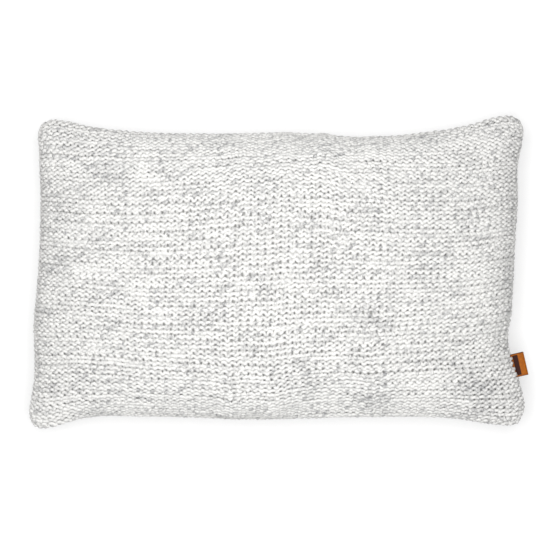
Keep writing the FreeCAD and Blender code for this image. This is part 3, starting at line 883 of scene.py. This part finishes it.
COIL_PITCH = 0.0016
WIRE_RADIUS = 0.00034
COIL_OUTER = float(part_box("zip_coil_front")[1][2]) - SEAM_Z
COIL_DEPTH = float(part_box("zip_coil_front")[1][1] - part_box("zip_coil_front")[0][1])
COIL_PAST_MIDDLE = 0.0005     # the turns of each half reach between those of the other


def zip_coil(side, sign, made):
    """One half of the coil: an oval helix whose turns mesh with the other half's."""
    turns = int(2 * ZIP_HALF / COIL_PITCH) - 1
    t = np.linspace(0, turns * 2 * math.pi, turns * 12 + 1) + (0 if sign > 0 else math.pi)
    rise = (COIL_OUTER + COIL_PAST_MIDDLE) / 2 - WIRE_RADIUS
    line = np.stack([-ZIP_HALF + 0.0005 + COIL_PITCH * t / (2 * math.pi) + 0.0002 * np.sin(t),
                     CHAIN_Y + (COIL_DEPTH / 2 - WIRE_RADIUS) * np.sin(t),
                     SEAM_Z + sign * (COIL_OUTER - WIRE_RADIUS - rise + rise * np.cos(t))], -1)
    normal = np.stack([np.ones_like(t), 0 * t, 0 * t], -1)
    points, faces, _ = tube(line, normal, np.full(len(t), WIRE_RADIUS), t, sides=6, lobe=0, fuzz=0)
    piece = mesh_piece("coil_turns_" + side, points, faces)
    claim(piece, made, "cushion", "zip_nylon", "zip_coil_" + side)


def zip_tape(side, made):
    """A woven tape with a thicker edge on each side, slightly wavy along its length."""
    low, high = (np.array(c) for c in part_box("zip_tape_" + side))
    x = np.linspace(low[0], high[0], 331)
    z = np.linspace(low[2], high[2], 23)
    gx, gz = np.meshgrid(x, z, indexing="ij")
    edge = np.minimum(gz - low[2], high[2] - gz)
    half = 0.00019 + 0.00006 * np.exp(-(edge / 0.0007) ** 2) + 0.00002 * np.sin(gz * 9000)
    wave = 0.00004 * np.sin(gx * 95) * smooth_step(edge / 0.003)
    middle = (low[1] + high[1]) / 2 + wave
    layers = [np.stack([gx, middle + face * half, gz], -1) for face in (-1, 1)]
    piece = mesh_piece("woven_tape_" + side, *strip_solid(*layers))
    claim(piece, made, "cushion", "zip_tape", "zip_tape_" + side)


STITCHES_PER_TAPE = 81
THREAD_RADIUS = 0.00016
THREAD_SHOWN = 0.7            # share of the stitch length where the thread lies on the tape
THREAD_DIP = 0.00022


def zip_stitches(side, made):
    """The row of stitches that holds a tape to its hem: each thread dips into the tape."""
    low, high = (np.array(c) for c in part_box("zip_stitches_" + side))
    pitch = (high[0] - low[0]) / (STITCHES_PER_TAPE - 1 + THREAD_SHOWN)
    points, faces = [], []
    for number in range(STITCHES_PER_TAPE):
        t = np.linspace(0, 1, 9)
        start = low[0] + number * pitch
        line = np.stack([start + THREAD_SHOWN * pitch * t,
                         low[1] + 0.0003 - THREAD_DIP * np.sin(math.pi * t),
                         np.full(9, (low[2] + high[2]) / 2) + 0.00008 * (t - 0.5)], -1)
        normal = np.tile([0.0, -1.0, 0.0], (9, 1))
        p, f, _ = tube(line, normal, np.full(9, THREAD_RADIUS), t * 0.0025, sides=6, lobe=0.12, fuzz=0)
        faces.append(f + sum(len(q) for q in points))
        points.append(p)
    piece = mesh_piece("tape_stitching_" + side, np.concatenate(points), np.concatenate(faces))
    claim(piece, made, "cushion", "sewing_thread", "zip_stitches_" + side)


def rounded_block(name, outline, low, high, bevel, made, body, node):
    """A plate of the given outline in X and Z, from y `low` to y `high`, with rounded edges."""
    shape = bmesh.new()
    near = [shape.verts.new((x, low, z)) for x, z in outline]
    far = [shape.verts.new((x, high, z)) for x, z in outline]
    shape.faces.new(near)
    shape.faces.new(far[::-1])
    count = len(outline)
    for i in range(count):
        j = (i + 1) % count
        shape.faces.new((near[j], near[i], far[i], far[j]))
    bmesh.ops.recalc_face_normals(shape, faces=shape.faces[:])
    bmesh.ops.bevel(shape, geom=shape.edges[:], offset=bevel, segments=3, profile=0.6, affect="EDGES")
    mesh = bpy.data.meshes.new(name)
    shape.to_mesh(mesh)
    shape.free()
    mesh.polygons.foreach_set("use_smooth", np.ones(len(mesh.polygons), bool))
    piece = bpy.data.objects.new(name, mesh)
    bpy.context.scene.collection.objects.link(piece)
    claim(piece, made, body, "zip_metal", node)


def box_outline(low_x, high_x, low_z, high_z):
    return [(low_x, low_z), (high_x, low_z), (high_x, high_z), (low_x, high_z)]


def zip_stops(made):
    """Crimped metal clips at both ends of the coil."""
    for node in ("zip_bottom_stop", "zip_top_stop_front", "zip_top_stop_back"):
        low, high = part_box(node)
        outline = box_outline(low[0], high[0], low[2], high[2])
        rounded_block("crimped_" + node, outline, low[1], high[1], 0.0004, made, "cushion", node)


def slider_outline(low, high, notch):
    """A slider plate from above: wide at its two-mouthed front, rounded off towards the back."""
    middle_z, half = (low[2] + high[2]) / 2, (high[2] - low[2]) / 2
    upper = [(0.0, 0.62), (0.08, 0.74), (0.30, 0.80), (0.55, 0.94), (0.80, 1.0), (0.95, 0.93),
             (1.0, 0.70), (0.97, 0.30)]
    points = [(low[0] + x * (high[0] - low[0]), middle_z + z * half) for x, z in upper]
    points.append((high[0] - notch, middle_z))
    points += [(low[0] + x * (high[0] - low[0]), middle_z - z * half) for x, z in upper[::-1]]
    return points


PLATE = 0.001                 # thickness of the slider's two plates
RAIL_SLIT = 0.0006            # half the slit that the rails leave for a tape
RAIL_LOW_Z = 0.0029           # the rails lie between these distances from the chain's middle
RAIL_HIGH_Z = 0.0036
RAIL_SUNK = 0.0003            # into its plate
NOTCH = 0.0012                # where the front of a plate divides the coil halves


def zip_slider(made):
    """Two plates, and side rails between them that leave a slit for each tape."""
    low, high = (np.array(c, float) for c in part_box("zip_slider"))
    outline = slider_outline(low, high, NOTCH)
    rounded_block("slider_outer_plate", outline, low[1], low[1] + PLATE, 0.0003, made, "slider",
                  "zip_slider")
    rounded_block("slider_inner_plate", outline, high[1] - PLATE, high[1], 0.0003, made, "slider",
                  "zip_slider")
    chain = (low[1] + high[1]) / 2
    rails = ((low[1] + PLATE - RAIL_SUNK, chain - RAIL_SLIT),
             (chain + RAIL_SLIT, high[1] - PLATE + RAIL_SUNK))
    for number, (rail_low, rail_high) in enumerate(rails):
        for side, sign in (("front", 1), ("back", -1)):
            near, far = SEAM_Z + sign * RAIL_LOW_Z, SEAM_Z + sign * RAIL_HIGH_Z
            rail = [(low[0] + 0.0016, near), (high[0] - 0.0022, near), (high[0] - 0.0022, far),
                    (low[0] + 0.0030, far)]
            rounded_block("slider_rail_%s_%d" % (side, number + 1), rail, rail_low, rail_high, 0.00015,
                          made, "slider", "zip_slider")


STRAP = 0.0007                # thickness of the strap
STRAP_SQUARENESS = 0.45       # below 1 an oval gets squarer shoulders


def squarish(wave, power):
    return np.sign(wave) * np.abs(wave) ** power


def slider_cap(made):
    """The bent strap over the outer plate that the pull hangs from."""
    low, high = (np.array(c, float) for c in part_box("zip_slider_cap"))
    half_width = (high[2] - low[2]) / 2
    span, rise = high[0] - low[0] - STRAP, high[1] - low[1] - STRAP / 2
    t = np.linspace(0, math.pi, 25)
    x = (low[0] + high[0]) / 2 - span / 2 * squarish(np.cos(t), STRAP_SQUARENESS)
    y = high[1] + 0.0002 - rise * np.sin(t) ** STRAP_SQUARENESS
    line = np.stack([x, y, np.full(len(t), SEAM_Z)], -1)
    tangent = unit(np.gradient(line, axis=0))
    out = np.stack([tangent[:, 1], -tangent[:, 0], 0 * t], -1)
    turn = np.linspace(0, 2 * math.pi, 16, endpoint=False)
    thick = squarish(np.sin(turn), STRAP_SQUARENESS) * STRAP / 2
    rings = line[:, None] + out[:, None] * thick[None, :, None]
    rings[..., 2] += squarish(np.cos(turn), STRAP_SQUARENESS) * half_width
    piece = mesh_piece("slider_strap", rings.reshape(-1, 3), ring_faces(len(t), len(turn))[:, ::-1])
    claim(piece, made, "slider", "zip_metal", "zip_slider_cap")


PULL_TAPER = 0.76             # width of the pull's free end as a share of the eye's end
EYE_HALF = (0.0016, 0.0030)   # half the eye's height and length
EYE_SQUARENESS = 0.4
EYE_RIM = 0.0013
PULL_ROLL = 0.0003            # how far the edges are rounded over


def zip_pull(made):
    """A tapered tab with a rounded eye, its edges rolled over."""
    low, high = (np.array(c, float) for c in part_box("zip_pull"))
    count = 48
    turn = np.linspace(0, 2 * math.pi, count, endpoint=False)
    head, tail = (high[2] - low[2]) / 2, (high[2] - low[2]) / 2 * PULL_TAPER
    cos, sin = np.cos(turn), np.sin(turn)
    outer_x = np.where(cos > 0, high[0] - head + head * cos, low[0] + tail + tail * cos)
    outer_z = np.where(cos > 0, head, tail) * sin
    inner_x = high[0] - EYE_RIM - EYE_HALF[1] + EYE_HALF[1] * squarish(cos, EYE_SQUARENESS)
    inner_z = EYE_HALF[0] * squarish(sin, EYE_SQUARENESS)
    centre, half, roll = (low[1] + high[1]) / 2, (high[1] - low[1]) / 2, PULL_ROLL
    towards = unit(np.stack([inner_x - outer_x, inner_z - outer_z], -1))
    rings = []
    for base_x, base_z, direction, heights in (
            (outer_x, outer_z, 1, ((-half + roll, 0), (-half + 0.3 * roll, 0.3), (-half, 1))),
            (inner_x, inner_z, -1, ((-half, 1), (-half + 0.3 * roll, 0.3), (-half + roll, 0)))):
        for y, inward in heights:
            rings.append((base_x + towards[:, 0] * roll * inward * direction, y,
                          base_z + towards[:, 1] * roll * inward * direction))
    rings += [(x, -y, z) for x, y, z in rings[::-1]]
    points = np.stack([np.stack([x, np.full(count, centre + y), SEAM_Z + z], -1) for x, y, z in rings])
    faces = ring_faces(len(rings), count, closed=True)
    piece = mesh_piece("pull_tab", points.reshape(-1, 3), faces)
    claim(piece, made, "pull", "zip_metal", "zip_pull")


# ---- making ----

knit()
cotton = plain_material("casing_cotton", (0.80, 0.79, 0.76), 0.9, grain=1500.0)
casing = inner_pad("insert_casing", 0.945, 0.90, 0.0042, cotton, "casing_cotton",
                   "insert_casing_front", "insert_casing_back")
fibre = plain_material("polyester_fibre", (0.9, 0.9, 0.9), 1.0, grain=300.0)
filling = inner_pad("fibre_filling_mass", 0.93, 0.88, 0.0075, fibre, "polyester_fibre", "fibre_filling")
leather_tag()
nylon = plain_material("zip_nylon", (0.82, 0.80, 0.75), 0.35, grain=900.0, bump_distance=0.00002)
tape_cloth = tape_material()
thread = plain_material("sewing_thread", (0.80, 0.78, 0.73), 0.7, grain=4000.0, bump_distance=0.00003)
metal = plain_material("zip_metal", (0.62, 0.60, 0.57), 0.32, metallic=1.0, grain=2500.0,
                       bump_distance=0.000012)
for side, sign in (("front", 1), ("back", -1)):
    zip_coil(side, sign, nylon)
    zip_tape(side, tape_cloth)
    zip_stitches(side, thread)
zip_stops(metal)
zip_slider(metal)
slider_cap(metal)
zip_pull(metal)
satin = plain_material("label_satin", (0.88, 0.88, 0.86), 0.4, grain=5000.0, bump_distance=0.00002)
for node, made in (("cover_seam_thread", thread), ("casing_seam_thread", thread),
                   ("casing_closing_thread", thread), ("care_label", satin)):
    for holder in bpy.data.objects:
        if holder.get("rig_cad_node") == node or holder.name == node:
            holder.data.materials.clear()
            holder.data.materials.append(made)


# ---- stage ----

def floor():
    """A white floor that glows a little, so that only a faint shadow shows on it."""
    mesh = bpy.data.meshes.new("floor")
    half = 6.0
    corners = [(-half, -half, 0), (half, -half, 0), (half, half, 0), (-half, half, 0)]
    mesh.from_pydata(corners, [], [(0, 1, 2, 3)])
    piece = bpy.data.objects.new("floor", mesh)
    bpy.context.scene.collection.objects.link(piece)
    made, _, _, shader = material("white_floor")
    shader.inputs["Base Color"].default_value = (0.56, 0.56, 0.56, 1)
    shader.inputs["Emission Color"].default_value = (1, 1, 1, 1)
    shader.inputs["Emission Strength"].default_value = 0.45
    shader.inputs["Roughness"].default_value = 0.9
    mesh.materials.append(made)


def area_light(name, place, size, power):
    """A square light that points at the cushion's middle."""
    data = bpy.data.lights.new(name, "AREA")
    data.shape = "RECTANGLE"
    data.size, data.size_y = size, size
    data.energy = power
    light = bpy.data.objects.new(name, data)
    bpy.context.scene.collection.objects.link(light)
    light.location = place
    direction = unit(np.array([0, 0, 0.05]) - np.array(place))
    light.rotation_euler = (math.acos(-direction[2]), 0, math.atan2(direction[0], -direction[1]))


CAMERA_PLACE = (-0.001, -0.0035, 2.4)
WIDTH_SEEN = 0.550            # at the height of the seams
SENSOR_WIDTH = 36


def camera():
    """Looks straight down at the cushion."""
    data = bpy.data.cameras.new("camera")
    data.sensor_width = SENSOR_WIDTH
    data.lens = SENSOR_WIDTH * (CAMERA_PLACE[2] - SEAM_Z) / WIDTH_SEEN
    eye = bpy.data.objects.new("camera", data)
    bpy.context.scene.collection.objects.link(eye)
    eye.location = CAMERA_PLACE
    bpy.context.scene.camera = eye


floor()
area_light("key", (-0.9, 1.0, 2.0), 1.4, 4.0)
area_light("overhead", (-0.03, 0.01, 1.0), 0.8, 13.6)
camera()
world = bpy.data.worlds.new("studio")
bpy.context.scene.world = world
world.use_nodes = True
world.node_tree.nodes["Background"].inputs["Color"].default_value = (1, 1, 1, 1)
world.node_tree.nodes["Background"].inputs["Strength"].default_value = 0.30
bpy.context.scene.view_settings.view_transform = "Standard"
